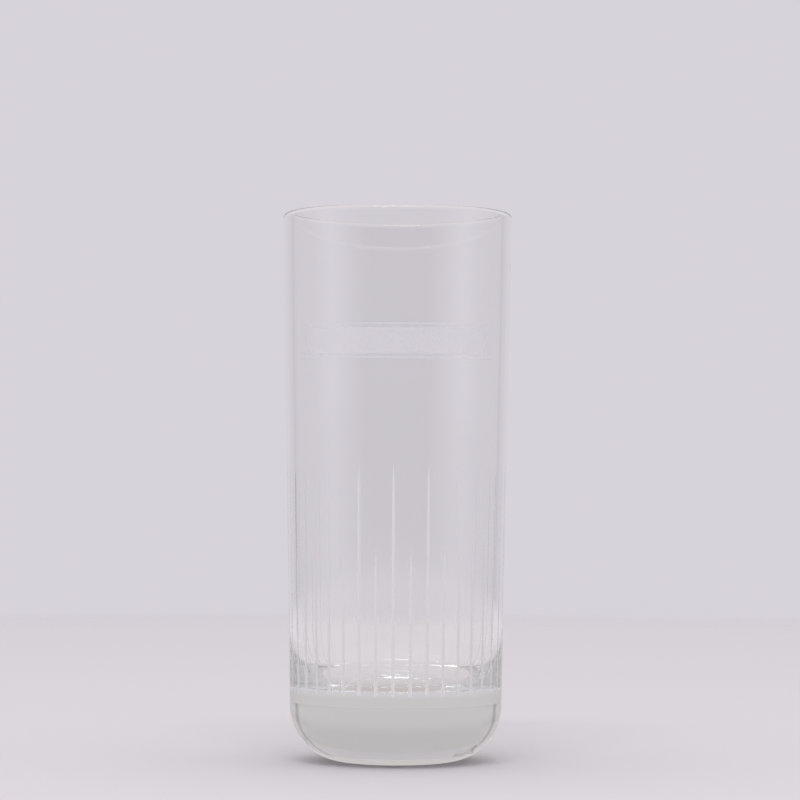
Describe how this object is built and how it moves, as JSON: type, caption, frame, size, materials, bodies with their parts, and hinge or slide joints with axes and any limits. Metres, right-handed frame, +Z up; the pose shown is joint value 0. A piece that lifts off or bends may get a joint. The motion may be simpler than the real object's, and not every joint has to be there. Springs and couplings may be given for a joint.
{
  "type": "highball glass",
  "caption": "Tall tapered tumbler with a heavy base, a rounded lip, fine vertical cut lines round the lower wall and a satin band on the front.",
  "frame": {"origin": "middle of the underside, on the surface that the glass stands on", "axes": "+Z up along the axis of the glass, -Y towards the front, where the middle of the satin band is"},
  "size_m": [0.0628, 0.0628, 0.15],
  "materials": {
    "clear_glass": "fire-polished, with satin ground cut lines",
    "satin_print": "satin white, see-through enamel fired on to the wall"
  },
  "bodies": {
    "root": {"glass_body": "clear_glass", "satin_band": "satin_print", "upper_rule_line": "satin_print", "lower_rule_line": "satin_print"}
  },
  "joints": []
}
